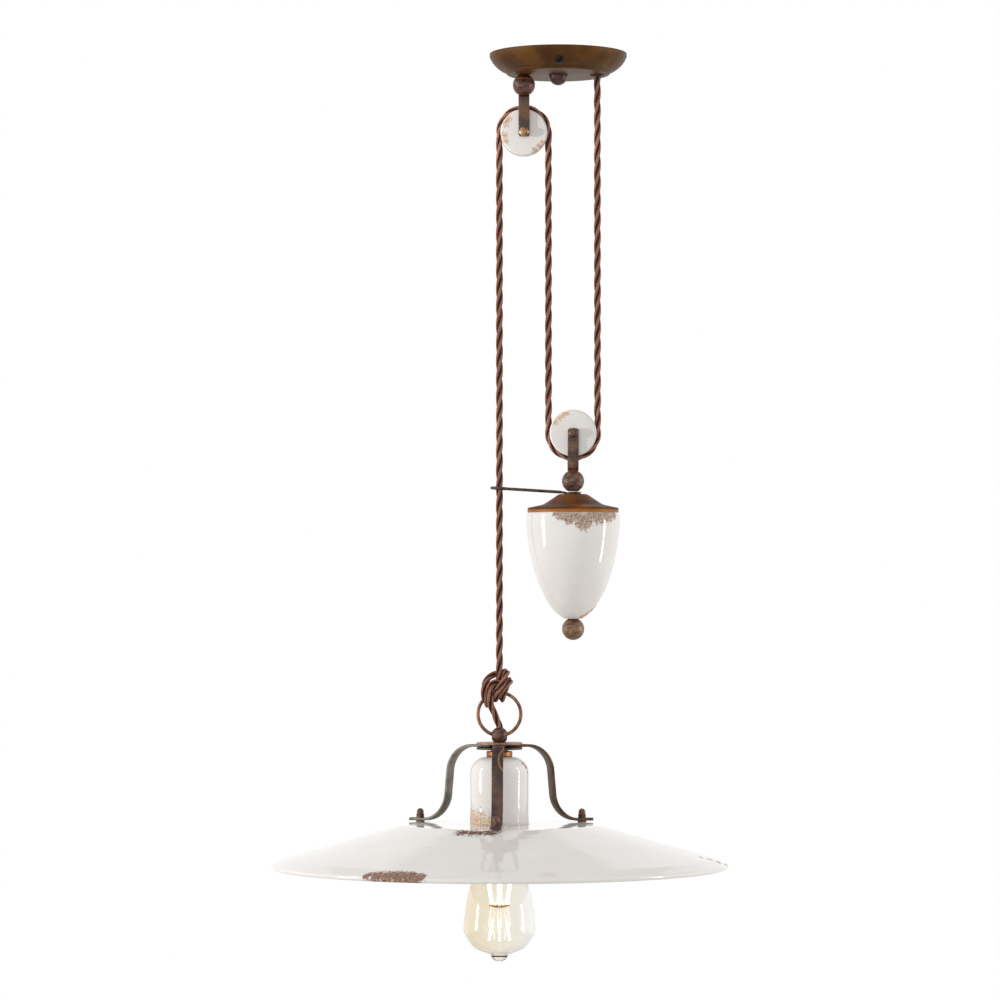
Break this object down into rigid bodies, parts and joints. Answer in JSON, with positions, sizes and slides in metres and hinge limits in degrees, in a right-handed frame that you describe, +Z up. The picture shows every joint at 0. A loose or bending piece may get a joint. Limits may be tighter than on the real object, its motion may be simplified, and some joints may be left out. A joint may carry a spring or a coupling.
{
  "type": "rise and fall pendant lamp",
  "caption": "Rise and fall pendant: a wide ceramic shade balanced by a ceramic counterweight on one twisted cord over two pulleys, hung from a round ceiling canopy.",
  "frame": {"origin": "middle of the canopy on the ceiling plane, midway between the bracket's two slots", "axes": "+Z up into the ceiling; +X from the lamp's side to the cord's fixed end; +Y away from the pictured side"},
  "size_m": [0.42, 0.42, 0.8323],
  "materials": {
    "canopy": "satin bronze-brown with a rubbed edge",
    "bracket": "zinc plated",
    "side_screws": "blackened",
    "steel": "zinc plated",
    "balls": "rusted and waxed",
    "forks": "rusted and waxed",
    "axles": "rusted and waxed",
    "bush": "matte",
    "grip": "matte",
    "cores": "gloss",
    "cord": "three twisted cores in dark brown braid",
    "wheel": "glossy warm white, worn at the edge",
    "wheel_bush": "turned",
    "pale_washer": "matte",
    "guide": "rusted and waxed",
    "cap": "rust brown with an orange rim",
    "bell": "glossy warm white, chipped",
    "ballast": "raw",
    "ring": "coppery, rubbed",
    "tube": "plain",
    "upper_disc": "rubbed",
    "lower_disc": "rusted and waxed",
    "collar": "coppery",
    "cup": "glossy warm white, chipped",
    "arms": "dark brown-olive with rust",
    "pads": "fibre",
    "holder_cap": "gloss black",
    "holder_body": "unglazed white",
    "contact": "plain",
    "shade": "glossy warm white, chipped",
    "bulb_glass": "clear, tinted amber",
    "bulb_cap": "bright",
    "bulb_stem": "clear",
    "filaments": "pale yellow"
  },
  "bodies": {
    "canopy": {"canopy_shell": "canopy", "ceiling_bracket": "bracket", "canopy_side_screws": "side_screws", "centre_stud": "steel", "centre_cap_nut": "balls", "upper_ball": "balls", "upper_fork": "forks", "upper_fork_screw": "steel", "upper_screw_nut": "steel", "upper_axle": "axles", "cord_bush": "bush", "cord_grip": "grip", "terminal_block": "grip", "core_wires": "cores", "cord_upper_turn": "cord", "cord_fixed_run": "cord", "cord_middle_run": "cord", "cord_lamp_run": "cord"},
    "upper_pulley": {"upper_pulley_wheel": "wheel", "upper_pulley_bush": "wheel_bush"},
    "counterweight": {"lower_fork": "forks", "lower_axle": "axles", "lower_ball": "balls", "pale_washer": "pale_washer", "guide_arm": "guide", "weight_cap": "cap", "weight_bell": "bell", "ballast_upper": "ballast", "ballast_lower": "ballast", "weight_rod": "steel", "bottom_ball": "balls", "cord_lower_turn": "cord"},
    "lower_pulley": {"lower_pulley_wheel": "wheel", "lower_pulley_bush": "wheel_bush"},
    "hanger": {"hanging_ring": "ring", "cord_knot": "cord", "cord_tail": "cord"},
    "lamp": {"lamp_ball": "balls", "nipple_tube": "tube", "upper_disc": "upper_disc", "lower_disc": "lower_disc", "collar_nut": "collar", "ceramic_cup": "cup", "arm_front": "arms", "arm_left": "arms", "arm_right": "arms", "shade_pads": "pads", "shade_bolts": "steel", "domed_nuts": "balls", "holder_cap": "holder_cap", "holder_body": "holder_body", "screw_shell": "contact", "centre_contact": "contact", "shade": "shade", "bulb_glass": "bulb_glass", "bulb_cap": "bulb_cap", "bulb_stem": "bulb_stem", "bulb_filaments": "filaments", "cord_lamp_end": "cord"}
  },
  "joints": [
    {"name": "lamp_travel", "type": "slide", "parent": "canopy", "child": "hanger", "axis": [0, 0, 1], "range_m": [-0.4, 0.08], "deforming": ["cord_lamp_run"]},
    {"name": "counterweight_travel", "type": "slide", "parent": "canopy", "child": "counterweight", "axis": [0, 0, 1], "range_m": [-0.04, 0.2], "deforming": ["cord_fixed_run", "cord_middle_run"]},
    {"name": "upper_pulley_turn", "type": "hinge", "parent": "canopy", "child": "upper_pulley", "pos_m": [-0.0315, 0, -0.0726], "axis": [0, 1, 0], "range_deg": [-1020, 205]},
    {"name": "lower_pulley_turn", "type": "hinge", "parent": "counterweight", "child": "lower_pulley", "pos_m": [0.0135, 0, -0.349], "axis": [0, 1, 0], "range_deg": [-103, 512]},
    {"name": "lamp_tilt", "type": "hinge", "parent": "hanger", "child": "lamp", "pos_m": [-0.054, 0, -0.626], "axis": [1, 0, 0], "range_deg": [-25, 25]}
  ],
  "couplings": [
    {"joint": "counterweight_travel", "follows": "lamp_travel", "ratio": -0.5},
    {"joint": "upper_pulley_turn", "follows": "lamp_travel", "rad_per_m": 44.444},
    {"joint": "lower_pulley_turn", "follows": "lamp_travel", "rad_per_m": -22.222}
  ]
}
